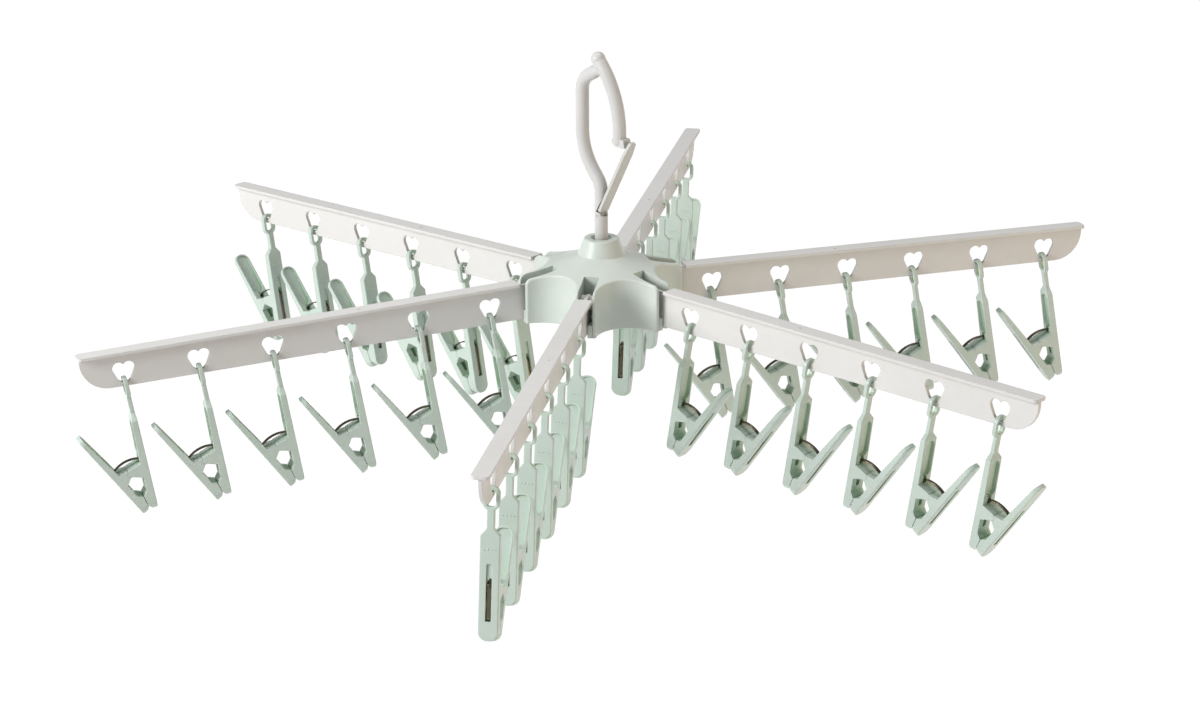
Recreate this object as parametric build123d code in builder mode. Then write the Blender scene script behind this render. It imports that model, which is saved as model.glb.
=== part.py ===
"""Hanging folding clip dryer: a swivel hook, a hub, six folding arms and thirty-six sprung clips.

Millimetres, +Z up. The origin is the seat inside the top of the hook, where the rack hangs, and the
swivel axis is Z. Arm 1 points along +X and the others follow counter-clockwise, seen from above.
"""
import os
from math import asin, atan2, cos, degrees, radians, sin, sqrt, tan

from build123d import *

# Arms
arm_count = 6
arm_tip_r = 327.0
arm_droops = (0.3, -0.8, 1.0, 3.7, 2.3, 1.2)
flange_w = 10.5
flange_t = 1.8
flange_corner_r = 2.5
flange_dot_r = 0.9
flange_dot_rise = 0.3
flange_dot_run = 101.0
web_t = 2.2
web_h_root = 22.0
web_h_tip = 20.6
web_end_inset = 1.0
web_end_r = 18.0
knuckle_d = 9.0
flange_top_above_pin = 7.0
pin_inset = 11.0
pin_d = 3.0
pin_fit = 0.05
rim_gap = 3.0

# Heart-shaped holes that the clips hang in
hole_count = 6
hole_first_gap = 21.5
hole_tip_gap = 27.0
heart_w = 13.5
heart_h = 12.8
heart_lobe_r = 3.7
heart_point_r = 4.6
heart_foot_below_flange = 18.4

# Hub
seat_to_rim = 122.5
hub_r = 51.0
hub_h = 28.5
rim_r = 4.5
lip_r = 1.2
dome_rise = 9.8
dome_mid_share = 0.30
boss_base_r = 14.5
boss_top_r = 10.7
boss_h = 10.2
boss_round = 1.6
boss_mouth_r = 6.6
scallop_depth = 17.0
slot_w = 9.3
prong_w = 2.25
slot_depth = 21.0
slot_wall = 2.5
floor_h = 8.0
ceiling_above_rim = 1.5
pin_seat_depth = 2.2
pin_below_rim = 9.5
side_gap = 0.35
stop_gap = 0.3
base_gap = 0.2
base_t = 3.0
base_finger_root = 5.5
web_inner_x = -1.0
web_slit_gap = 0.4
pin_end_gap = 0.15

# Hook, drawn in its own upright plane
hook_azimuth = -60.0
rod_d = 8.2
rod_fit = 0.1
loop_half_w = 15.0
loop_foot = -73.0
elbow_r = 12.0
elbow_turn = 38.0
side_r = 40.0
side_top = -11.0
shoulder_r = 11.0
shoulder_turn = 60.0
crown_run = 12.0
tip_top = -34.0
tip_bottom = -40.0
knob_x = -2.0
knob_z = 9.5
knob_r = 4.5
seat_r = 3.2
toe_t = 6.4
toe_h = 5.0
toe_top = -36.8
toe_side = 3.6
toe_out = 5.6
toe_chamfer = 2.3
toe_round = 1.0

# Gate that closes the hook
gate_pivot_z = -88.0
gate_angle = 27.0
gate_len = 55.7
gate_w = 8.0
gate_tip_w = 5.0
gate_taper = 9.0
gate_t = 2.0
gate_gap = 0.4
gate_relief = 0.9
gate_pin_d = 1.8
gate_pin_fit = 0.05
ear_r = 2.5
tongue_w = 2.6
tongue_side_gap = 0.3

# Swivel fastener under the hub's ceiling
swivel_gap = 0.3
washer_d = 20.0
washer_t = 1.5
washer_gap = 0.05
screw_d = 4.0
screw_fit = 0.05
screw_len = 14.0
screw_head_d = 8.0
screw_head_h = 2.6

# Clips
lever_outward = (False, True, True, True, False, True)
clip_tilt = 10.0
clip_w = 11.3
clip_wall = 4.4
leg_top_t = 3.6
clip_half_angle = 13.2
clip_body_len = 62.5
neck_len = 20.0
jaw_half_t = 4.7
jaw_gap = 0.35
jaw_mouth_h = 3.2
jaw_top_h = 10.0
jaw_tooth = 0.35
jaw_tooth_count = 4
jaw_mouth_w = 2.2
window_lift = 3.0
fulcrum_h = 26.5
fulcrum_r = 2.4
fulcrum_fit = 0.08
socket_half_angle = 55.0
knuckle_rise = 4.5
shoulder_h = 4.0
neck_w = 4.4
ring_t = 2.6
ring_w = 9.8
ring_h = 13.5
ring_band = 2.2
ring_play = 1.2
lever_over = 2.0
lever_tip_t = 2.6
edge_round = 0.6
pocket_rim = 1.0
pocket_skin = 1.8
pocket_lift = 4.0
pocket_top_gap = 1.0
slot_foot_lift = 3.0
slot_top_lift = 4.0
groove_lift = 8.0
groove_depth = 0.9
clip_slot_w = 3.2
ledge_lift = 1.0
ledge_depth = 1.7
grip_dot_r = 0.45
grip_dot_rise = 0.35
grip_dot_count = 4
grip_dot_pitch = 2.1
grip_dot_drop = 11.5

# Clip springs
spring_w = 2.6
spring_t = 0.7
spring_inset = 1.0
spring_foot_lift = 0.4
spring_bend_drop = 0.5
spring_bend_r = 2.0
spring_bend_turn = 70.0

# Heights and radii that follow
rim_z = -seat_to_rim
hub_bottom_z = rim_z - hub_h
floor_z = hub_bottom_z + floor_h
boss_base_z = rim_z + dome_rise
boss_top_z = boss_base_z + boss_h
ceiling_z = rim_z + ceiling_above_rim
pin_z = rim_z - pin_below_rim
pin_r = hub_r - pin_inset
slot_inner_r = hub_r - slot_depth
cavity_r = slot_inner_r - slot_wall
lobe_half_w = slot_w / 2 + prong_w
flange_underside = flange_top_above_pin - flange_t
flange_start = hub_r + rim_gap - pin_r
arm_len = arm_tip_r - pin_r
hole_first_r = hub_r + hole_first_gap
hole_pitch = (arm_tip_r - hole_tip_gap - hole_first_r) / (hole_count - 1)
heart_foot = flange_underside - heart_foot_below_flange
rod_r = rod_d / 2
arm_angles = [index * 360 / arm_count for index in range(arm_count)]

os.makedirs("parts", exist_ok=True)


def save(part, name):
    """Write one finished piece under its name."""
    part.label = name
    export_step(part, f"parts/{name}.step")


def arm_frame(index):
    """The frame of one arm: origin on its pin, X out along the drooping arm, Z up."""
    turned = Location((0, 0, pin_z), (0, 0, arm_angles[index]))
    return turned * Location((pin_r, 0, 0), (0, arm_droops[index], 0))


def clip_frame(index, hole):
    """The frame of one clip: origin at the foot of its heart-shaped hole, X towards its lever."""
    along = hole_first_r - pin_r + hole * hole_pitch
    outward = lever_outward[index]
    facing = 0 if outward else 180
    tilt = clip_tilt - (arm_droops[index] if outward else -arm_droops[index])
    return (
        arm_frame(index)
        * Location((along, 0, heart_foot))
        * Rotation(0, 0, facing)
        * Rotation(0, tilt, 0)
    )


# Hub shell: a domed disc with six scallops between the arms and six slots for them
lobe_corner_r = sqrt(hub_r**2 + lobe_half_w**2)
half_gap = radians(180 / arm_count) - asin(lobe_half_w / lobe_corner_r)
half_chord = lobe_corner_r * sin(half_gap)
scallop_floor_r = hub_r - scallop_depth
sagitta = lobe_corner_r * cos(half_gap) - scallop_floor_r
scallop_r = (half_chord**2 + sagitta**2) / (2 * sagitta)
scallop_centre_r = scallop_floor_r + scallop_r
dome_mid = ((hub_r + boss_base_r) / 2, rim_z + dome_rise * dome_mid_share)
slot_reach = 2 * hub_r

with BuildPart() as hub_shell:
    with BuildSketch(Plane.XZ):
        with BuildLine():
            Polyline((0, boss_top_z), (0, hub_bottom_z), (hub_r, hub_bottom_z), (hub_r, rim_z - rim_r))
            RadiusArc((hub_r, rim_z - rim_r), (hub_r - rim_r, rim_z), -rim_r)
            ThreePointArc((hub_r - rim_r, rim_z), dome_mid, (boss_base_r, boss_base_z))
            Polyline((boss_base_r, boss_base_z), (boss_top_r, boss_top_z), (0, boss_top_z))
        make_face()
    revolve(axis=Axis.Z)
    boss_edge = hub_shell.edges().filter_by(GeomType.CIRCLE).group_by(Axis.Z)[-1]
    fillet(boss_edge, boss_round)
    with BuildSketch(Plane.XY.offset(hub_bottom_z)):
        with PolarLocations(scallop_centre_r, arm_count, start_angle=180 / arm_count):
            Circle(scallop_r)
    extrude(amount=hub_h + dome_rise, mode=Mode.SUBTRACT)
    scallop_lips = hub_shell.edges(Select.LAST).filter_by_position(Axis.Z, rim_z - rim_r, boss_base_z)
    fillet(scallop_lips, lip_r)
    with BuildSketch(Plane.XY.offset(hub_bottom_z)):
        Circle(cavity_r)
    extrude(amount=ceiling_z - hub_bottom_z, mode=Mode.SUBTRACT)
    with BuildSketch(Plane.XY.offset(floor_z)):
        with PolarLocations(slot_inner_r, arm_count):
            Rectangle(slot_reach, slot_w, align=(Align.MIN, Align.CENTER))
    extrude(amount=hub_h + dome_rise, mode=Mode.SUBTRACT)
    with BuildSketch(Plane.XY.offset(hub_bottom_z)):
        with PolarLocations(0, arm_count):
            Rectangle(slot_reach, slot_w, align=(Align.MIN, Align.CENTER))
    extrude(amount=floor_h, mode=Mode.SUBTRACT)
    with BuildSketch(Plane.XY.offset(hub_bottom_z)):
        with PolarLocations(pin_r, arm_count):
            Rectangle(pin_d + 2 * pin_fit, slot_w + 2 * pin_seat_depth)
    extrude(amount=pin_z - hub_bottom_z, mode=Mode.SUBTRACT)
    for index in range(arm_count):
        with BuildSketch(Plane(arm_frame(index) * Rotation(90, 0, 0))):
            Circle(pin_d / 2 + pin_fit)
        extrude(amount=slot_w / 2 + pin_seat_depth, both=True, mode=Mode.SUBTRACT)
    with Locations((0, 0, boss_top_z)):
        CounterSinkHole(rod_r + rod_fit, boss_mouth_r, boss_top_z - ceiling_z)
save(hub_shell.part, "hub_shell")


# Hub base: a plug for the underside, with a forked finger under each arm and posts that hold the pins up
base_finger_w = slot_w - 2 * base_gap
pin_post_w = pin_d + 2 * pin_fit - 2 * base_gap
pin_post_reach = slot_w / 2 + pin_seat_depth - base_gap
web_foot_root = flange_underside - web_h_root
web_foot_tip = flange_underside - web_h_tip
base_finger_root_r = cavity_r - base_finger_root

with BuildPart() as hub_base:
    with BuildSketch(Plane.XY.offset(hub_bottom_z)):
        Circle(cavity_r - base_gap)
    extrude(amount=base_t)
    with BuildSketch(Plane.XY.offset(hub_bottom_z)):
        with PolarLocations(base_finger_root_r, arm_count):
            Rectangle(hub_r, base_finger_w, align=(Align.MIN, Align.CENTER))
        with PolarLocations(pin_r, arm_count):
            Rectangle(pin_post_w, 2 * pin_post_reach)
        Circle(hub_r, mode=Mode.INTERSECT)
    extrude(amount=floor_h - base_gap)
    with BuildSketch(Plane.XY.offset(hub_bottom_z)):
        with PolarLocations(pin_r, arm_count):
            with Locations((0, slot_w / 2), (0, -slot_w / 2)):
                Rectangle(pin_post_w, 2 * (pin_post_reach - slot_w / 2))
        with PolarLocations(0, arm_count):
            Rectangle(2 * hub_r, slot_w, mode=Mode.SUBTRACT)
    extrude(amount=pin_z - pin_d / 2 - base_gap - hub_bottom_z)
    for angle, droop in zip(arm_angles, arm_droops):
        stop_r = pin_r + web_inner_x + web_foot_root * sin(radians(droop)) - stop_gap
        with BuildSketch(Plane.XY.offset(hub_bottom_z)):
            with PolarLocations(stop_r, 1, start_angle=angle):
                Rectangle(hub_r, web_t + 2 * web_slit_gap, align=(Align.MIN, Align.CENTER))
        extrude(amount=floor_h, mode=Mode.SUBTRACT)
save(hub_base.part, "hub_base")

# Arm pins, one across each slot
with BuildPart() as arm_pins:
    for index in range(arm_count):
        with BuildSketch(Plane(arm_frame(index) * Rotation(90, 0, 0))):
            Circle(pin_d / 2)
        extrude(amount=slot_w / 2 + pin_seat_depth - pin_end_gap, both=True)
save(arm_pins.part, "arm_pins")

# Heart-shaped hole, drawn from its foot up
heart_lobe_x = heart_w / 2 - heart_lobe_r
heart_lobe_y = heart_h - heart_lobe_r


def heart_half(side):
    """The foot of the heart joined to one of its lobes."""
    with BuildSketch() as half:
        with Locations((0, heart_point_r)):
            Circle(heart_point_r)
        with Locations((side * heart_lobe_x, heart_lobe_y)):
            Circle(heart_lobe_r)
        make_hull()
    return half.sketch


with BuildSketch() as heart:
    add(heart_half(1))
    add(heart_half(-1))

# Arm: a T section with a knuckle on its pin, drawn from the pin out along X
web_end_x = arm_len - web_end_inset
hole_places = [
    (hole_first_r - pin_r + hole * hole_pitch, heart_foot) for hole in range(hole_count)
]

with BuildPart() as arm:
    with BuildSketch(Plane.XZ) as web_outline:
        Polygon(
            (web_inner_x, flange_underside),
            (web_inner_x, web_foot_root),
            (web_end_x, web_foot_tip),
            (web_end_x, flange_underside),
            align=None,
        )
        end_corner = web_outline.vertices().group_by(Axis.X)[-1].sort_by(Axis.Y)[0]
        fillet(end_corner, web_end_r)
    extrude(amount=web_t / 2, both=True)
    with BuildSketch(Plane.XY.offset(flange_underside)) as flange_outline:
        with Locations((flange_start, 0)):
            Rectangle(arm_len - flange_start, flange_w, align=(Align.MIN, Align.CENTER))
        fillet(flange_outline.vertices().group_by(Axis.X)[-1], flange_corner_r)
    extrude(amount=flange_t)
    with BuildSketch(Plane.XY.offset(flange_underside)):
        with Locations((flange_start + flange_dot_run, 0)):
            Circle(flange_dot_r)
    extrude(amount=flange_t + flange_dot_rise)
    with BuildSketch(Plane.XZ):
        Circle(knuckle_d / 2)
    extrude(amount=slot_w / 2 - side_gap, both=True)
    with BuildSketch(Plane.XZ):
        Circle(pin_d / 2 + pin_fit)
        with Locations(*hole_places):
            add(heart.sketch)
    extrude(amount=slot_w, both=True, mode=Mode.SUBTRACT)

for index in range(arm_count):
    with BuildPart() as placed_arm:
        with Locations(arm_frame(index)):
            add(arm.part)
    save(placed_arm.part, f"arm_{index + 1}")

# Hook, drawn in an upright plane through the swivel axis: X across the hook, Y up from the seat
across = Vector(cos(radians(hook_azimuth)), sin(radians(hook_azimuth)), 0)
hook_plane = Plane(origin=(0, 0, 0), x_dir=across, z_dir=across.cross(Vector(0, 0, 1)))
gate_along = Vector(sin(radians(gate_angle)), cos(radians(gate_angle)))
gate_inward = Vector(-cos(radians(gate_angle)), sin(radians(gate_angle)))
gate_pivot = Vector(0, gate_pivot_z)


def by_gate(along, inward):
    """A point of the hook's plane, counted from the gate's pin along the gate and towards the loop."""
    point = gate_pivot + gate_along * along + gate_inward * inward
    return (point.X, point.Y)


stem_foot_z = ceiling_z - swivel_gap
elbow_lean = radians(elbow_turn)
elbow_run = (loop_half_w - (elbow_r + side_r) * (1 - cos(elbow_lean))) / sin(elbow_lean)
knob_turn = 2 * degrees(atan2(loop_half_w - knob_x, knob_z - tip_top))
limb_r = (knob_z - tip_top) / sin(radians(knob_turn))
toe_face = gate_t / 2 + gate_gap
notch_face = gate_t / 2 + gate_relief
notch_foot = sqrt(ear_r**2 - notch_face**2)
notch_reach = 2 * rod_d
tongue_slot_w = tongue_w + 2 * tongue_side_gap
tongue_slot_r = ear_r + tongue_side_gap

with BuildPart() as hook:
    with BuildLine(hook_plane) as stem_and_side:
        stem = Line((0, stem_foot_z), (0, loop_foot))
        elbow = JernArc(stem @ 1, stem % 1, elbow_r, elbow_turn)
        rise = PolarLine(elbow @ 1, elbow_run, direction=elbow % 1)
        back = JernArc(rise @ 1, rise % 1, side_r, -elbow_turn)
        side = Line(back @ 1, (-loop_half_w, side_top))
        shoulder = JernArc(side @ 1, side % 1, shoulder_r, -shoulder_turn)
        PolarLine(shoulder @ 1, crown_run, direction=shoulder % 1)
    with BuildSketch(Plane.XY.offset(stem_foot_z)):
        Circle(rod_r)
    sweep(path=stem_and_side.line)
    with BuildLine(hook_plane) as limb:
        drop = Line((loop_half_w, tip_bottom), (loop_half_w, tip_top))
        JernArc(drop @ 1, drop % 1, limb_r, knob_turn)
    with BuildSketch(Plane(hook_plane.from_local_coords((loop_half_w, tip_bottom, 0)))):
        Circle(rod_r)
    sweep(path=limb.line)
    with Locations(hook_plane.from_local_coords((knob_x, knob_z, 0))):
        Sphere(knob_r)
    with BuildSketch(hook_plane) as toe:
        Polygon(
            (loop_half_w - toe_side, toe_top),
            (loop_half_w + toe_out, toe_top),
            by_gate(gate_len - toe_h, toe_face),
            (loop_half_w - toe_side + toe_chamfer, toe_top - toe_h),
            (loop_half_w - toe_side, toe_top - toe_h + toe_chamfer),
            align=None,
        )
        fillet(toe.vertices(), toe_round)
    extrude(amount=toe_t / 2, both=True)
    with BuildSketch(hook_plane):
        with Locations((0, -seat_r)):
            Circle(seat_r)
    extrude(amount=rod_d, both=True, mode=Mode.SUBTRACT)
    with BuildSketch(hook_plane):
        with BuildLine():
            ear_side = (ear_r, gate_pivot_z)
            ear_top = (0, gate_pivot_z + ear_r)
            ThreePointArc(ear_side, ear_top, by_gate(notch_foot, notch_face))
            Polyline(
                by_gate(notch_foot, notch_face),
                by_gate(notch_reach, notch_face),
                (notch_reach, by_gate(notch_reach, notch_face)[1]),
                (notch_reach, gate_pivot_z),
                ear_side,
            )
        make_face()
    extrude(amount=rod_d, both=True, mode=Mode.SUBTRACT)
    with BuildSketch(hook_plane):
        with Locations(gate_pivot):
            Circle(tongue_slot_r)
        with Locations((0, gate_pivot_z - gate_gap)):
            Rectangle(rod_d, gate_gap + tongue_slot_r, align=(Align.MIN, Align.MIN))
    extrude(amount=tongue_slot_w / 2, both=True, mode=Mode.SUBTRACT)
    with BuildSketch(hook_plane):
        with Locations(gate_pivot):
            Circle(gate_pin_d / 2 + gate_pin_fit)
    extrude(amount=rod_d, both=True, mode=Mode.SUBTRACT)
    with BuildSketch(Plane.XY.offset(stem_foot_z)):
        Circle(screw_d / 2 + screw_fit)
    extrude(amount=screw_len, mode=Mode.SUBTRACT)
save(hook.part, "hook")

# Hook gate: a flat strip on a pin through the stem, closing against the hook's toe
gate_side = hook_plane * Location((0, gate_pivot_z, 0), (0, 0, -gate_angle))
gate_face = gate_side * Rotation(0, 90, 0)
gate_foot = ear_r + gate_gap

with BuildPart() as hook_gate:
    with BuildSketch(gate_side):
        Circle(ear_r - gate_gap)
    extrude(amount=tongue_w / 2, both=True)
    with BuildSketch(gate_face) as gate_outline:
        Polygon(
            (gate_w / 2, gate_foot),
            (gate_w / 2, gate_len - gate_taper),
            (gate_tip_w / 2, gate_len),
            (-gate_tip_w / 2, gate_len),
            (-gate_w / 2, gate_len - gate_taper),
            (-gate_w / 2, gate_foot),
            align=None,
        )
        fillet(gate_outline.vertices(), toe_round)
        Rectangle(tongue_w, 2 * gate_foot, align=(Align.CENTER, Align.MIN))
    extrude(amount=gate_t / 2, both=True)
    with BuildSketch(gate_side):
        Circle(gate_pin_d / 2 + gate_pin_fit)
    extrude(amount=gate_w, both=True, mode=Mode.SUBTRACT)
save(hook_gate.part, "hook_gate")

# Hook fasteners: the gate's pin, and the washer and screw that hold the hub up on the stem
washer_z = stem_foot_z - washer_gap
screw_head_z = washer_z - washer_t - washer_gap

with BuildPart() as hook_fasteners:
    with BuildSketch(hook_plane):
        with Locations(gate_pivot):
            Circle(gate_pin_d / 2)
    extrude(amount=sqrt(rod_r**2 - (gate_pin_d / 2) ** 2), both=True)
    with BuildSketch(Plane.XY.offset(washer_z)):
        Circle(washer_d / 2)
        Circle(screw_d / 2 + screw_fit, mode=Mode.SUBTRACT)
    extrude(amount=-washer_t)
    with BuildSketch(Plane.XY.offset(screw_head_z)):
        Circle(screw_head_d / 2)
    extrude(amount=-screw_head_h)
    fillet(hook_fasteners.edges().sort_by(Axis.Z)[0], screw_head_h / 2)
    with BuildSketch(Plane.XY.offset(screw_head_z)):
        Circle(screw_d / 2)
    extrude(amount=screw_len)
save(hook_fasteners.part, "hook_fasteners")

# Clips, drawn in the plane across the leg and the lever. A point is given by its depth from the leg's
# outer face and its height above the jaw's tip; the lever mirrors the leg in the seam between them.
half_angle = radians(clip_half_angle)
clip_drop = clip_body_len + neck_len
knuckle_top_h = fulcrum_h + knuckle_rise
knuckle_foot_h = fulcrum_h - knuckle_rise
window_foot_h = jaw_top_h + window_lift
slot_foot_h = window_foot_h + slot_foot_lift
slot_top_h = knuckle_top_h + slot_top_lift
groove_top_h = slot_top_h + groove_lift
ledge_foot_h = jaw_top_h + ledge_lift
pocket_foot_h = knuckle_top_h + pocket_lift
grip_dot_h = clip_body_len - grip_dot_drop
spring_foot_h = ledge_foot_h + spring_foot_lift
spring_bend_h = knuckle_top_h - spring_bend_drop
seam = Vector(sin(half_angle), cos(half_angle))
across_seam = Vector(cos(half_angle), -sin(half_angle))
leg_face_x = -ring_t / 2
seam_foot = Vector(leg_face_x + jaw_half_t, -clip_drop)


def on_leg(depth, height):
    """A point of the leg's outline."""
    return (leg_face_x + depth, height - clip_drop)


def by_seam(along, aside):
    """A point counted along the seam from the jaw's tip, and aside from it towards the lever."""
    point = seam_foot + seam * along + across_seam * aside
    return (point.X, point.Y)


def on_lever(depth, height):
    """A point of the lever's outline, the mirror image of the leg's."""
    away = Vector(on_leg(depth, height)) - seam_foot
    return by_seam(away.dot(seam), -away.dot(across_seam))


def jaw_line(aside):
    """The toothed line of one jaw, from the top down, set aside from the seam."""
    steps = 2 * jaw_tooth_count
    rise = (jaw_top_h - jaw_mouth_h) / cos(half_angle)
    top = jaw_top_h / cos(half_angle)
    return [
        by_seam(top - step * rise / steps, aside + (jaw_tooth / 2 if step % 2 else -jaw_tooth / 2))
        for step in range(steps + 1)
    ]


fulcrum_along = fulcrum_h / cos(half_angle)
body_top_z = clip_body_len - clip_drop
lever_len = clip_body_len + lever_over
ring_top_z = ring_play + ring_band
ring_mid_z = ring_top_z - ring_h / 2
neck_depth = ring_t
socket_r = fulcrum_r + fulcrum_fit
socket_reach = socket_r * cos(radians(socket_half_angle))
socket_rise = socket_r * sin(radians(socket_half_angle))
leg_pocket_top = clip_body_len - shoulder_h - pocket_top_gap
lever_pocket_top = lever_len - pocket_rim
pocket_w = clip_w - 2 * pocket_rim
ledge_len = slot_foot_h + clip_slot_w - ledge_foot_h
leg_face = Plane(origin=(leg_face_x, 0, -clip_drop), x_dir=(0, -1, 0), z_dir=(-1, 0, 0))
grip_dots = [
    (
        leg_face_x - grip_dot_rise + grip_dot_r,
        (index - (grip_dot_count - 1) / 2) * grip_dot_pitch,
        grip_dot_h - clip_drop,
    )
    for index in range(grip_dot_count)
]
lever_turn = 2 * half_angle
lever_foot_x, lever_foot_z = on_lever(0, 0)
lever_face = Plane(
    origin=(lever_foot_x, 0, lever_foot_z),
    x_dir=(0, 1, 0),
    z_dir=(cos(lever_turn), 0, -sin(lever_turn)),
)


def clip_slot(face, top):
    """The sketch of a slot on the outer face of a leg or a lever, up to a height."""
    with BuildSketch(face) as outline:
        with Locations((0, slot_foot_h)):
            Rectangle(clip_slot_w, top - slot_foot_h, align=(Align.CENTER, Align.MIN))
        fillet(outline.vertices(), clip_slot_w / 2 - edge_round)
    return outline.sketch


def ledge(face):
    """The sketch of the groove that the spring's foot lies in."""
    with BuildSketch(face) as outline:
        with Locations((0, ledge_foot_h)):
            Rectangle(clip_slot_w, ledge_len, align=(Align.CENTER, Align.MIN))
    return outline.sketch


def pocket(face, top):
    """The sketch of the hollow in the inner side of a leg or a lever, from the spring up to a height."""
    with BuildSketch(face.offset(-pocket_skin)) as outline:
        with Locations((0, pocket_foot_h)):
            Rectangle(pocket_w, top - pocket_foot_h, align=(Align.CENTER, Align.MIN))
        fillet(outline.vertices(), pocket_w / 2 - edge_round)
    return outline.sketch


# Clip leg: jaw, knuckle, body, neck and ring eye in one piece
with BuildPart() as clip_leg:
    with BuildSketch(Plane.XZ):
        with BuildLine():
            Polyline(
                by_seam(fulcrum_along - fulcrum_r, 0),
                on_leg(clip_wall, knuckle_foot_h),
                on_leg(clip_wall, window_foot_h),
                *jaw_line(-jaw_gap / 2),
                on_leg(jaw_half_t - jaw_mouth_w, 0),
                on_leg(0, 0),
                (leg_face_x, ring_top_z),
                (leg_face_x + neck_depth, ring_top_z),
                (leg_face_x + neck_depth, body_top_z),
                on_leg(leg_top_t, clip_body_len - shoulder_h),
                on_leg(clip_wall, knuckle_top_h),
                by_seam(fulcrum_along + fulcrum_r, 0),
            )
            ThreePointArc(
                by_seam(fulcrum_along + fulcrum_r, 0),
                by_seam(fulcrum_along, fulcrum_r),
                by_seam(fulcrum_along - fulcrum_r, 0),
            )
        make_face()
    extrude(amount=clip_w / 2, both=True)
    with BuildSketch(leg_face) as leg_outline:
        Rectangle(clip_w, clip_body_len - shoulder_h, align=(Align.CENTER, Align.MIN))
        fillet(leg_outline.vertices().group_by(Axis.Y)[0], clip_w / 2 - edge_round)
        Polygon(
            (clip_w / 2, clip_body_len - shoulder_h),
            (neck_w / 2, clip_body_len),
            (neck_w / 2, clip_drop + ring_mid_z),
            (-neck_w / 2, clip_drop + ring_mid_z),
            (-neck_w / 2, clip_body_len),
            (-clip_w / 2, clip_body_len - shoulder_h),
            align=None,
        )
        with Locations((0, clip_drop + ring_mid_z)):
            RectangleRounded(ring_w, ring_h, ring_w / 2 - edge_round)
            RectangleRounded(
                ring_w - 2 * ring_band,
                ring_h - 2 * ring_band,
                ring_w / 2 - ring_band - edge_round,
                mode=Mode.SUBTRACT,
            )
    extrude(amount=-2 * clip_drop, mode=Mode.INTERSECT)
    fillet(clip_leg.faces().sort_by(Axis.X)[0].edges(), edge_round)
    extrude(clip_slot(leg_face, slot_top_h), amount=-clip_wall, mode=Mode.SUBTRACT)
    extrude(clip_slot(leg_face, groove_top_h), amount=-groove_depth, mode=Mode.SUBTRACT)
    extrude(ledge(leg_face), amount=-ledge_depth, mode=Mode.SUBTRACT)
    extrude(pocket(leg_face, leg_pocket_top), amount=-clip_wall, mode=Mode.SUBTRACT)
    with Locations(*grip_dots):
        Sphere(grip_dot_r)

# Clip lever: jaw, socket and handle
with BuildPart() as clip_lever:
    with BuildSketch(Plane.XZ):
        with BuildLine():
            Polyline(
                by_seam(fulcrum_along - socket_rise, socket_reach),
                on_lever(clip_wall, knuckle_foot_h),
                on_lever(clip_wall, window_foot_h),
                *jaw_line(jaw_gap / 2),
                on_lever(jaw_half_t - jaw_mouth_w, 0),
                on_lever(0, 0),
                on_lever(0, lever_len),
                on_lever(lever_tip_t, lever_len),
                on_lever(clip_wall, knuckle_top_h),
                by_seam(fulcrum_along + socket_rise, socket_reach),
            )
            ThreePointArc(
                by_seam(fulcrum_along + socket_rise, socket_reach),
                by_seam(fulcrum_along, socket_r),
                by_seam(fulcrum_along - socket_rise, socket_reach),
            )
        make_face()
    extrude(amount=clip_w / 2, both=True)
    with BuildSketch(lever_face) as lever_outline:
        Rectangle(clip_w, lever_len, align=(Align.CENTER, Align.MIN))
        fillet(lever_outline.vertices(), clip_w / 2 - edge_round)
    extrude(amount=-2 * clip_drop, mode=Mode.INTERSECT)
    fillet(clip_lever.faces().sort_by(Axis((0, 0, 0), lever_face.z_dir))[-1].edges(), edge_round)
    extrude(clip_slot(lever_face, slot_top_h), amount=-clip_wall, mode=Mode.SUBTRACT)
    extrude(clip_slot(lever_face, groove_top_h), amount=-groove_depth, mode=Mode.SUBTRACT)
    extrude(ledge(lever_face), amount=-ledge_depth, mode=Mode.SUBTRACT)
    extrude(pocket(lever_face, lever_pocket_top), amount=-clip_wall, mode=Mode.SUBTRACT)

# Clip spring: a bent strip whose feet press on both jaws from outside
bend_turn = radians(spring_bend_turn)
bend_end = (
    spring_inset + spring_bend_r * (1 - cos(bend_turn)),
    spring_bend_h + spring_bend_r * sin(bend_turn),
)
bend_mid = (
    spring_inset + spring_bend_r * (1 - cos(bend_turn / 2)),
    spring_bend_h + spring_bend_r * sin(bend_turn / 2),
)
arch_start = Vector(on_leg(*bend_end)) - seam_foot
arch_lean = radians(90) - bend_turn + half_angle
arch_rise = -arch_start.dot(across_seam) * tan(arch_lean / 2)
spring_foot_x, spring_foot_z = on_leg(spring_inset, spring_foot_h)

with BuildPart() as clip_spring:
    with BuildLine(Plane.XZ) as strip:
        Line(on_leg(spring_inset, spring_foot_h), on_leg(spring_inset, spring_bend_h))
        ThreePointArc(on_leg(spring_inset, spring_bend_h), on_leg(*bend_mid), on_leg(*bend_end))
        arch_top = by_seam(arch_start.dot(seam) + arch_rise, 0)
        ThreePointArc(on_leg(*bend_end), arch_top, on_lever(*bend_end))
        ThreePointArc(on_lever(*bend_end), on_lever(*bend_mid), on_lever(spring_inset, spring_bend_h))
        Line(on_lever(spring_inset, spring_bend_h), on_lever(spring_inset, spring_foot_h))
    with BuildSketch(Plane.XY.offset(spring_foot_z)):
        with Locations((spring_foot_x, 0)):
            Rectangle(spring_t, spring_w)
    sweep(path=strip.line)

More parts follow.
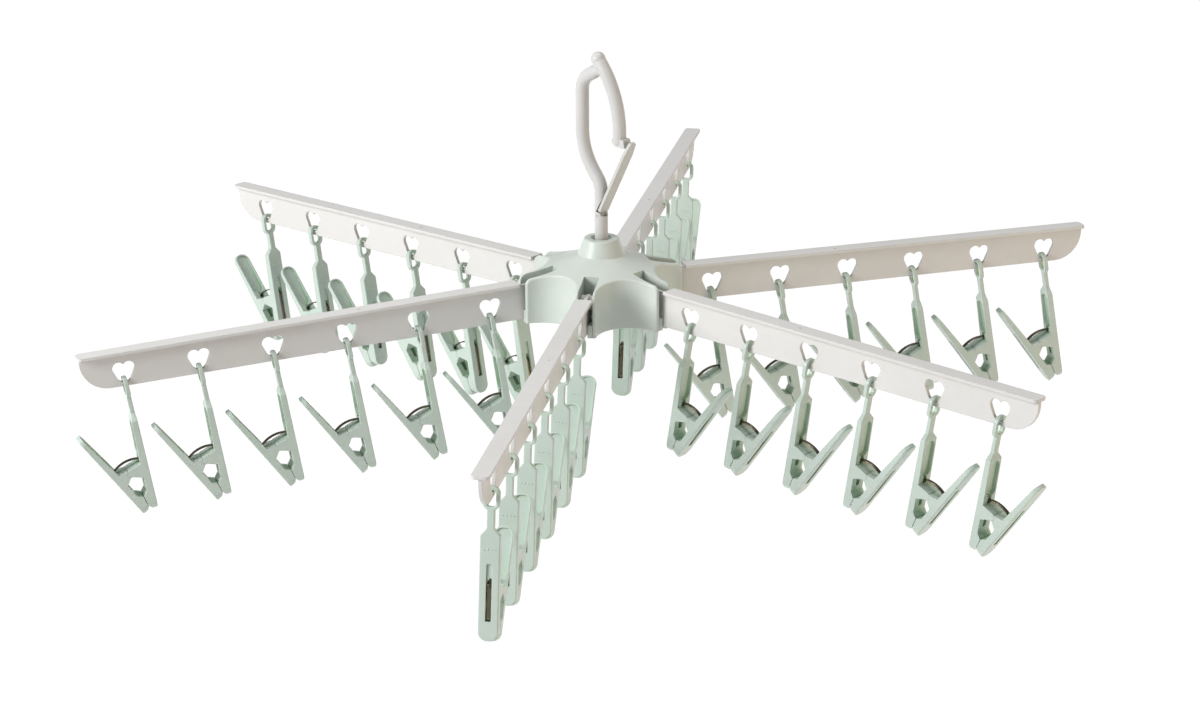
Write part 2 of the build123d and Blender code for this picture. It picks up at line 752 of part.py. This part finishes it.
# Six clips on each arm: the legs and the springs of one arm together, each lever on its own
for index in range(arm_count):
    arm_number = index + 1
    frames = [clip_frame(index, hole) for hole in range(hole_count)]
    with BuildPart() as placed_legs:
        with Locations(*frames):
            add(clip_leg.part)
    save(placed_legs.part, f"clip_legs_{arm_number}")
    with BuildPart() as placed_springs:
        with Locations(*frames):
            add(clip_spring.part)
    save(placed_springs.part, f"clip_springs_{arm_number}")
    for hole, frame in enumerate(frames):
        with BuildPart() as placed_lever:
            with Locations(frame):
                add(clip_lever.part)
        save(placed_lever.part, f"clip_lever_{arm_number}_{hole + 1}")
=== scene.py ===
"""Looks for the hanging folding clip dryer: plastics, bent steel springs, studio and camera."""
from math import cos, pi, radians, sin

import bpy
from mathutils import Matrix, Vector


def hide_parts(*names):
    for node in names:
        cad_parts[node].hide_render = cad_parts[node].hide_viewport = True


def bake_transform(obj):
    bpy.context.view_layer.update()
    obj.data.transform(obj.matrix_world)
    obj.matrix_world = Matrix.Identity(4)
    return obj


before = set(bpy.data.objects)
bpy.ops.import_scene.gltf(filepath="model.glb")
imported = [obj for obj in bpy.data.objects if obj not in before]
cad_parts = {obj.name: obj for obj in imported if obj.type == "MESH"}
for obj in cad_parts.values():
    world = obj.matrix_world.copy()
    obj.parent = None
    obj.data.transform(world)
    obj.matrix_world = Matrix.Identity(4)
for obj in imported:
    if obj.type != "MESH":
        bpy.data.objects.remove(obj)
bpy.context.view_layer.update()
scene = bpy.context.scene
scene.view_settings.view_transform = "Standard"

# Materials: lengths in metres, colours linear
PLASTIC_EDGE_R, STEEL_EDGE_R = 0.0006, 0.0003
EDGE_FLAT, EDGE_SHARP = 0.995, 0.80
RECESS_REACH = 0.010
SHADER_SAMPLES = 4
PLASTIC_IOR, PLASTIC_SPECULAR = 1.49, 0.42
FLOW_DULLS, SCUFF_DULLS = 0.06, 0.14
STEEL_GLOSSIER, STEEL_DULLER = 0.06, 0.10
PIT_BROWN, EDGE_BRIGHT = (0.22, 0.18, 0.13), (0.80, 0.79, 0.76)


class Nodes:
    """A material's node tree, with short calls for adding and joining nodes."""

    def __init__(self, name):
        self.material = bpy.data.materials.new(name)
        self.material.use_nodes = True
        self.tree = self.material.node_tree
        self.shader = self.tree.nodes["Principled BSDF"]
        coordinates = self.tree.nodes.new("ShaderNodeTexCoord")
        self.place = coordinates.outputs["Object"]

    def link(self, source, target):
        self.tree.links.new(source, target)

    def add(self, kind, **settings):
        node = self.tree.nodes.new(kind)
        for key, value in settings.items():
            setattr(node, key, value)
        return node

    def noise(self, scale, detail, rough=0.55, distortion=0.0, stretch=None):
        node = self.add("ShaderNodeTexNoise")
        node.inputs["Scale"].default_value = scale
        node.inputs["Detail"].default_value = detail
        node.inputs["Roughness"].default_value = rough
        node.inputs["Distortion"].default_value = distortion
        place = self.place
        if stretch is not None:
            mapping = self.add("ShaderNodeMapping")
            mapping.inputs["Scale"].default_value = stretch
            self.link(place, mapping.inputs["Vector"])
            place = mapping.outputs["Vector"]
        self.link(place, node.inputs["Vector"])
        return node.outputs["Fac"]

    def spread(self, value, low, high, to_low=0.0, to_high=1.0):
        """A value eased from the range low to high onto the range to_low to to_high."""
        node = self.add("ShaderNodeMapRange", interpolation_type="SMOOTHSTEP")
        self.link(value, node.inputs["Value"])
        node.inputs["From Min"].default_value = low
        node.inputs["From Max"].default_value = high
        node.inputs["To Min"].default_value = to_low
        node.inputs["To Max"].default_value = to_high
        return node.outputs["Result"]

    def math(self, operation, first, second):
        node = self.add("ShaderNodeMath", operation=operation)
        for socket, value in zip(node.inputs, (first, second)):
            if isinstance(value, (int, float)):
                socket.default_value = value
            else:
                self.link(value, socket)
        return node.outputs["Value"]

    def mix(self, share, first, second):
        node = self.add("ShaderNodeMix", data_type="RGBA")
        self.link(share, node.inputs["Factor"])
        for socket, value in zip((node.inputs["A"], node.inputs["B"]), (first, second)):
            if isinstance(value, tuple):
                socket.default_value = (*value, 1.0)
            else:
                self.link(value, socket)
        return node.outputs["Result"]

    def tint(self, colour, other, mask, share):
        """A colour that goes over to another by a share of a mask."""
        return self.mix(self.math("MULTIPLY", mask, share), colour, other)

    def edges(self, radius):
        """The normal with edges rounded, and a mask that is 1 on the edges and 0 on the flats."""
        bevel = self.add("ShaderNodeBevel", samples=SHADER_SAMPLES)
        bevel.inputs["Radius"].default_value = radius
        flat = self.add("ShaderNodeNewGeometry")
        dot = self.add("ShaderNodeVectorMath", operation="DOT_PRODUCT")
        self.link(bevel.outputs["Normal"], dot.inputs[0])
        self.link(flat.outputs["Normal"], dot.inputs[1])
        return bevel.outputs["Normal"], self.spread(dot.outputs["Value"], EDGE_FLAT, EDGE_SHARP)

    def openness(self, distance):
        """1 in the open, towards 0 in corners and recesses."""
        node = self.add("ShaderNodeAmbientOcclusion", samples=SHADER_SAMPLES)
        node.inputs["Distance"].default_value = distance
        return node.outputs["AO"]

    def bump(self, height, strength, distance, normal):
        node = self.add("ShaderNodeBump")
        node.inputs["Strength"].default_value = strength
        node.inputs["Distance"].default_value = distance
        self.link(height, node.inputs["Height"])
        self.link(normal, node.inputs["Normal"])
        return node.outputs["Normal"]


def moulded(name, body, shade, edge, painted_shade_colour, rough, grain=1.0):
    """Moulded plastic: flow marks, fine spark grain, scuffs, edges paled by wear and painted
    highlight, painted shade in corners.
    """
    m = Nodes(name)
    drift = m.spread(m.noise(scale=9.0, detail=3.0), 0.35, 0.65)
    flow = m.spread(m.noise(scale=60.0, detail=5.0, rough=0.6, distortion=0.8), 0.38, 0.66)
    fleck = m.spread(m.noise(scale=700.0, detail=2.0, rough=0.5), 0.60, 0.78)
    wear_and_highlight = m.spread(m.noise(scale=150.0, detail=4.0), 0.3, 0.7, to_low=0.35, to_high=0.9)
    painted_shade_share = m.spread(m.noise(scale=95.0, detail=5.0), 0.25, 0.75, to_low=0.45, to_high=0.9)
    streaks = m.noise(scale=260.0, detail=6.0, rough=0.7, distortion=1.5, stretch=(1.0, 0.2, 1.0))
    scuff = m.spread(streaks, 0.55, 0.72)
    spark = m.noise(scale=2600.0, detail=3.0, rough=0.6)
    sink = m.noise(scale=38.0, detail=2.0, rough=0.5, distortion=0.4)
    rounded, rim = m.edges(PLASTIC_EDGE_R)
    # Painted shade: the colour goes over to a darker colour in corners and recesses, where ambient
    # occlusion finds them
    painted_shade_mask = m.spread(m.openness(RECESS_REACH), 0.20, 0.90, to_low=1.0, to_high=0.0)
    colour = m.tint(body, shade, mask=drift, share=0.55)
    colour = m.tint(colour, shade, mask=flow, share=0.30)
    colour = m.tint(colour, edge, mask=fleck, share=0.12)
    # Paler edges: partly wear, partly a painted highlight on the rounded edges
    colour = m.tint(colour, edge, mask=rim, share=wear_and_highlight)
    colour = m.tint(colour, painted_shade_colour, mask=painted_shade_mask, share=painted_shade_share)
    m.link(colour, m.shader.inputs["Base Color"])
    flow_dulls = m.math("MULTIPLY", flow, FLOW_DULLS)
    scuff_dulls = m.math("MULTIPLY", scuff, SCUFF_DULLS)
    duller = m.math("ADD", flow_dulls, scuff_dulls)
    m.link(m.math("ADD", duller, rough), m.shader.inputs["Roughness"])
    normal = m.bump(sink, strength=0.12, distance=0.0012, normal=rounded)
    normal = m.bump(spark, strength=0.22 * grain, distance=0.00012, normal=normal)
    normal = m.bump(scuff, strength=0.08, distance=0.00006, normal=normal)
    m.link(normal, m.shader.inputs["Normal"])
    m.shader.inputs["IOR"].default_value = PLASTIC_IOR
    m.shader.inputs["Specular IOR Level"].default_value = PLASTIC_SPECULAR
    return m.material


def steel(name, body, heated, rough):
    """Rolled steel: drawn lines, heat tint, fine pits and bright edges."""
    m = Nodes(name)
    drawn = m.noise(scale=900.0, detail=4.0, rough=0.6, stretch=(1.0, 1.0, 0.08))
    heat = m.spread(m.noise(scale=110.0, detail=3.0), 0.35, 0.70)
    pits = m.spread(m.noise(scale=1800.0, detail=2.0), 0.62, 0.75)
    rounded, rim = m.edges(STEEL_EDGE_R)
    colour = m.tint(body, heated, mask=heat, share=0.7)
    colour = m.tint(colour, PIT_BROWN, mask=pits, share=0.4)
    colour = m.tint(colour, EDGE_BRIGHT, mask=rim, share=0.5)
    m.link(colour, m.shader.inputs["Base Color"])
    m.shader.inputs["Metallic"].default_value = 1.0
    lines = m.spread(drawn, 0.3, 0.7, to_low=rough - STEEL_GLOSSIER, to_high=rough + STEEL_DULLER)
    m.link(lines, m.shader.inputs["Roughness"])
    normal = m.bump(drawn, strength=0.25, distance=0.00005, normal=rounded)
    m.link(normal, m.shader.inputs["Normal"])
    return m.material


# Each finish's recess colour is painted shade, mixed in where ambient occlusion finds corners and
# recesses
arm_white = moulded(
    "arm_white",
    body=(0.80, 0.795, 0.785),
    shade=(0.74, 0.73, 0.715),
    edge=(0.92, 0.915, 0.905),
    painted_shade_colour=(0.44, 0.40, 0.35),
    rough=0.36,
)
hub_sage = moulded(
    "hub_sage",
    body=(0.71, 0.77, 0.73),
    shade=(0.64, 0.71, 0.66),
    edge=(0.90, 0.93, 0.91),
    painted_shade_colour=(0.32, 0.40, 0.33),
    rough=0.30,
)
clip_green = moulded(
    "clip_green",
    body=(0.63, 0.73, 0.67),
    shade=(0.55, 0.66, 0.59),
    edge=(0.92, 0.95, 0.93),
    # A saturated green recess colour: painted shade tinted like light passing through the thin
    # plastic
    painted_shade_colour=(0.40, 0.64, 0.37),
    rough=0.28,
    grain=1.2,
)
hook_grey = moulded(
    "hook_grey",
    body=(0.71, 0.705, 0.70),
    shade=(0.64, 0.635, 0.63),
    edge=(0.87, 0.87, 0.86),
    painted_shade_colour=(0.42, 0.40, 0.37),
    rough=0.33,
)
gate_grey = moulded(
    "gate_grey",
    body=(0.68, 0.69, 0.66),
    shade=(0.60, 0.61, 0.58),
    edge=(0.86, 0.86, 0.84),
    painted_shade_colour=(0.42, 0.41, 0.38),
    rough=0.35,
)
pin_steel = steel("pin_steel", body=(0.60, 0.60, 0.58), heated=(0.52, 0.50, 0.46), rough=0.30)
spring_steel = steel(
    "spring_steel", body=(0.15, 0.13, 0.10), heated=(0.19, 0.145, 0.08), rough=0.26
)

# A node takes the finish of the longest of these beginnings that its name has
finishes = {
    "arm_": arm_white,
    "clip_": clip_green,
    "hub_": hub_sage,
    "hook": hook_grey,
    "hook_gate": gate_grey,
    "hook_fasteners": pin_steel,
    "arm_pins": pin_steel,
}
for node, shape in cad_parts.items():
    match = max((start for start in finishes if node.startswith(start)), key=len)
    shape.data.materials.clear()
    shape.data.materials.append(finishes[match])

# The clips' frames, as in the model: origin at the foot of a heart-shaped hole, X towards the lever
ARM_COUNT, HOLE_COUNT = 6, 6
ARM_STEP = 360 / ARM_COUNT
PIN_R, PIN_Z = 0.0400, -0.1320
DROOPS = [radians(droop) for droop in (0.3, -0.8, 1.0, 3.7, 2.3, 1.2)]
HOLE_FIRST, HOLE_PITCH, HOLE_FOOT = 0.0325, 0.0455, -0.0132
CLIP_TILT, HALF_ANGLE = radians(10.0), radians(13.2)
LEVER_OUTWARD = (False, True, True, True, False, True)
CLIP_DROP, LEG_FACE, JAW_HALF = 0.0825, -0.0013, 0.0047


def clip_matrix(arm, hole):
    """The frame of one clip, counted by its arm and its hole from 0."""
    outward = LEVER_OUTWARD[arm]
    tilt = CLIP_TILT - (DROOPS[arm] if outward else -DROOPS[arm])
    return (
        Matrix.Translation((0, 0, PIN_Z))
        @ Matrix.Rotation(radians(ARM_STEP * arm), 4, "Z")
        @ Matrix.Translation((PIN_R, 0, 0))
        @ Matrix.Rotation(DROOPS[arm], 4, "Y")
        @ Matrix.Translation((HOLE_FIRST + hole * HOLE_PITCH, 0, HOLE_FOOT))
        @ Matrix.Rotation(0 if outward else pi, 4, "Z")
        @ Matrix.Rotation(tilt, 4, "Y")
    )


# Springs: a bent strip with softened corners, its feet on both jaws and its arch over the knuckle
SPRING_W, SPRING_T, SPRING_INSET = 0.0026, 0.0007, 0.0010
SPRING_CORNER = 0.3 * SPRING_T
SPRING_FOOT, BEND_H, BEND_R, BEND_TURN = 0.0114, 0.0305, 0.0020, radians(70.0)
STRAIGHT_STEPS, BEND_STEPS, ARCH_STEPS = 12, 8, 8
SEAM = Vector((sin(HALF_ANGLE), cos(HALF_ANGLE)))
ACROSS = Vector((cos(HALF_ANGLE), -sin(HALF_ANGLE)))
SEAM_FOOT = Vector((LEG_FACE + JAW_HALF, -CLIP_DROP))


def mirrored(point):
    """The mirror image of a point in the seam between leg and lever."""
    away = point - SEAM_FOOT
    return SEAM_FOOT + SEAM * away.dot(SEAM) - ACROSS * away.dot(ACROSS)


def spring_line():
    """The strip's middle line: from the foot on the leg up to the seam, then its mirror image."""
    points = []
    for step in range(STRAIGHT_STEPS + 1):
        height = SPRING_FOOT + (BEND_H - SPRING_FOOT) * step / STRAIGHT_STEPS
        points.append(Vector((LEG_FACE + SPRING_INSET, height - CLIP_DROP)))
    for step in range(1, BEND_STEPS + 1):
        turn = BEND_TURN * step / BEND_STEPS
        depth = SPRING_INSET + BEND_R * (1 - cos(turn))
        points.append(Vector((LEG_FACE + depth, BEND_H + BEND_R * sin(turn) - CLIP_DROP)))
    start = points[-1] - SEAM_FOOT
    lean = pi / 2 - BEND_TURN + HALF_ANGLE
    arch_r = -start.dot(ACROSS) / sin(lean)
    centre = start.dot(SEAM) - arch_r * cos(lean)
    for step in range(1, ARCH_STEPS + 1):
        turn = lean * (1 - step / ARCH_STEPS)
        along = centre + arch_r * cos(turn)
        points.append(SEAM_FOOT + SEAM * along - ACROSS * arch_r * sin(turn))
    return points + [mirrored(point) for point in reversed(points[:-1])]


def strip_mesh(name, line):
    """A flat strip with softened corners, swept along a line in the XZ plane."""
    wide, thick = SPRING_W / 2, SPRING_T / 2
    wide_in, thick_in = wide - SPRING_CORNER, thick - SPRING_CORNER
    section = [
        (thick, wide_in),
        (thick_in, wide),
        (-thick_in, wide),
        (-thick, wide_in),
        (-thick, -wide_in),
        (-thick_in, -wide),
        (thick_in, -wide),
        (thick, -wide_in),
    ]
    rings = []
    for index, point in enumerate(line):
        before, after = line[max(index - 1, 0)], line[min(index + 1, len(line) - 1)]
        run = (after - before).normalized()
        side = Vector((run.y, -run.x))
        ring = [Vector((point.x + side.x * a, b, point.y + side.y * a)) for a, b in section]
        rings.append(ring)
    verts = [vert for ring in rings for vert in ring]
    count = len(section)
    faces = []
    for foot in range(0, (len(rings) - 1) * count, count):
        for corner in range(count):
            here, beside = foot + corner, foot + (corner + 1) % count
            faces.append((here, beside, beside + count, here + count))
    faces.append(tuple(reversed(range(count))))
    faces.append(tuple(range((len(rings) - 1) * count, len(rings) * count)))
    mesh = bpy.data.meshes.new(name)
    mesh.from_pydata(verts, [], faces)
    mesh.update()
    return mesh


line = spring_line()
for arm in range(ARM_COUNT):
    for hole in range(HOLE_COUNT):
        label = f"clip_spring_{arm + 1}_{hole + 1}"
        place = clip_matrix(arm, hole)
        mesh = strip_mesh(label, line)
        mesh.transform(place)
        mesh.materials.append(spring_steel)
        spring = bpy.data.objects.new(label, mesh)
        scene.collection.objects.link(spring)
        for polygon in mesh.polygons:
            polygon.use_smooth = True
        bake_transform(spring)
        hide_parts(f"clip_springs_{arm + 1}")

# Studio: a pale floor below the hanging rack that shows white to the camera, and a pale world
FLOOR_Z, FLOOR_HALF = -0.75, 30
FLOOR_ROUGH, FLOOR_SPECULAR = 0.9, 0.1
FLOOR_DARKER, FLOOR_LIGHTER = (0.93, 0.93, 0.93), (0.95, 0.95, 0.95)
GLOW_STRENGTH, GLOW_SHARE = 1.17, 0.82
SKY_STRENGTH = 0.23

floor_corners = [
    (-FLOOR_HALF, -FLOOR_HALF, 0),
    (FLOOR_HALF, -FLOOR_HALF, 0),
    (FLOOR_HALF, FLOOR_HALF, 0),
    (-FLOOR_HALF, FLOOR_HALF, 0),
]
floor_mesh = bpy.data.meshes.new("floor")
floor_mesh.from_pydata(floor_corners, [], [(0, 1, 2, 3)])
floor = bpy.data.objects.new("floor", floor_mesh)
floor.location.z = FLOOR_Z
scene.collection.objects.link(floor)
paper = Nodes("floor")
paper.shader.inputs["Roughness"].default_value = FLOOR_ROUGH
paper.shader.inputs["Specular IOR Level"].default_value = FLOOR_SPECULAR
cloud = paper.spread(paper.noise(scale=3.0, detail=3.0), 0.3, 0.7)
paper.link(paper.mix(cloud, FLOOR_DARKER, FLOOR_LIGHTER), paper.shader.inputs["Base Color"])
glow = paper.add("ShaderNodeEmission")
glow.inputs["Strength"].default_value = GLOW_STRENGTH
rays = paper.add("ShaderNodeLightPath")
seen = paper.math("MAXIMUM", rays.outputs["Is Camera Ray"], rays.outputs["Is Glossy Ray"])
seen = paper.math("MAXIMUM", seen, rays.outputs["Is Transmission Ray"])
blend = paper.add("ShaderNodeMixShader")
paper.link(paper.math("MULTIPLY", seen, GLOW_SHARE), blend.inputs["Fac"])
paper.link(paper.shader.outputs["BSDF"], blend.inputs[1])
paper.link(glow.outputs["Emission"], blend.inputs[2])
paper.link(blend.outputs["Shader"], paper.tree.nodes["Material Output"].inputs["Surface"])
floor_mesh.materials.append(paper.material)

world = bpy.data.worlds.new("studio")
scene.world = world
world.use_nodes = True
sky = world.node_tree.nodes["Background"]
sky.inputs["Color"].default_value = (1.0, 1.0, 1.0, 1.0)
sky.inputs["Strength"].default_value = SKY_STRENGTH


def lamp(name, place, aim, size, power, colour=(1.0, 1.0, 1.0)):
    """A round soft lamp that points at a place."""
    data = bpy.data.lights.new(name, "AREA")
    data.shape = "DISK"
    data.size = size
    data.energy = power
    data.color = colour
    lit = bpy.data.objects.new(name, data)
    lit.location = place
    lit.rotation_mode = "QUATERNION"
    lit.rotation_quaternion = (Vector(aim) - Vector(place)).to_track_quat("-Z", "Y")
    scene.collection.objects.link(lit)


lamp(
    "key",
    place=(-1.8, -0.3, 0.65),
    aim=(0, 0, -0.15),
    size=1.0,
    power=32.0,
    colour=(1.0, 0.995, 0.98),
)
lamp("top", place=(0.3, 0.2, 2.2), aim=(0, 0, -0.15), size=1.6, power=22.0)
lamp(
    "warm",
    place=(1.3, -1.2, 0.0),
    aim=(0.1, 0, -0.15),
    size=0.8,
    power=7.0,
    colour=(1.0, 0.76, 0.48),
)

# Camera at the photograph's angle
AZIMUTH, ELEVATION, ROLL = radians(-18.51), radians(19.18), radians(-0.21)
DISTANCE, SENSOR_W, LENS = 2.111, 36.0, 102.57
RACK_MIDDLE = Vector((0, 0, -0.138))
AIM_RIGHT, AIM_UP = -0.00095, -0.0441
back = Vector((sin(AZIMUTH) * cos(ELEVATION), -cos(AZIMUTH) * cos(ELEVATION), sin(ELEVATION)))
level = Vector((cos(AZIMUTH), sin(AZIMUTH), 0))
right = Matrix.Rotation(ROLL, 3, back) @ level
up = back.cross(right)
target = RACK_MIDDLE + right * AIM_RIGHT + up * AIM_UP
camera = bpy.data.objects.new("camera", bpy.data.cameras.new("camera"))
camera.data.sensor_width = SENSOR_W
camera.data.lens = LENS
camera.location = target + back * DISTANCE
camera.rotation_mode = "QUATERNION"
camera.rotation_quaternion = Matrix((right, up, back)).transposed().to_quaternion()
scene.collection.objects.link(camera)
scene.camera = camera
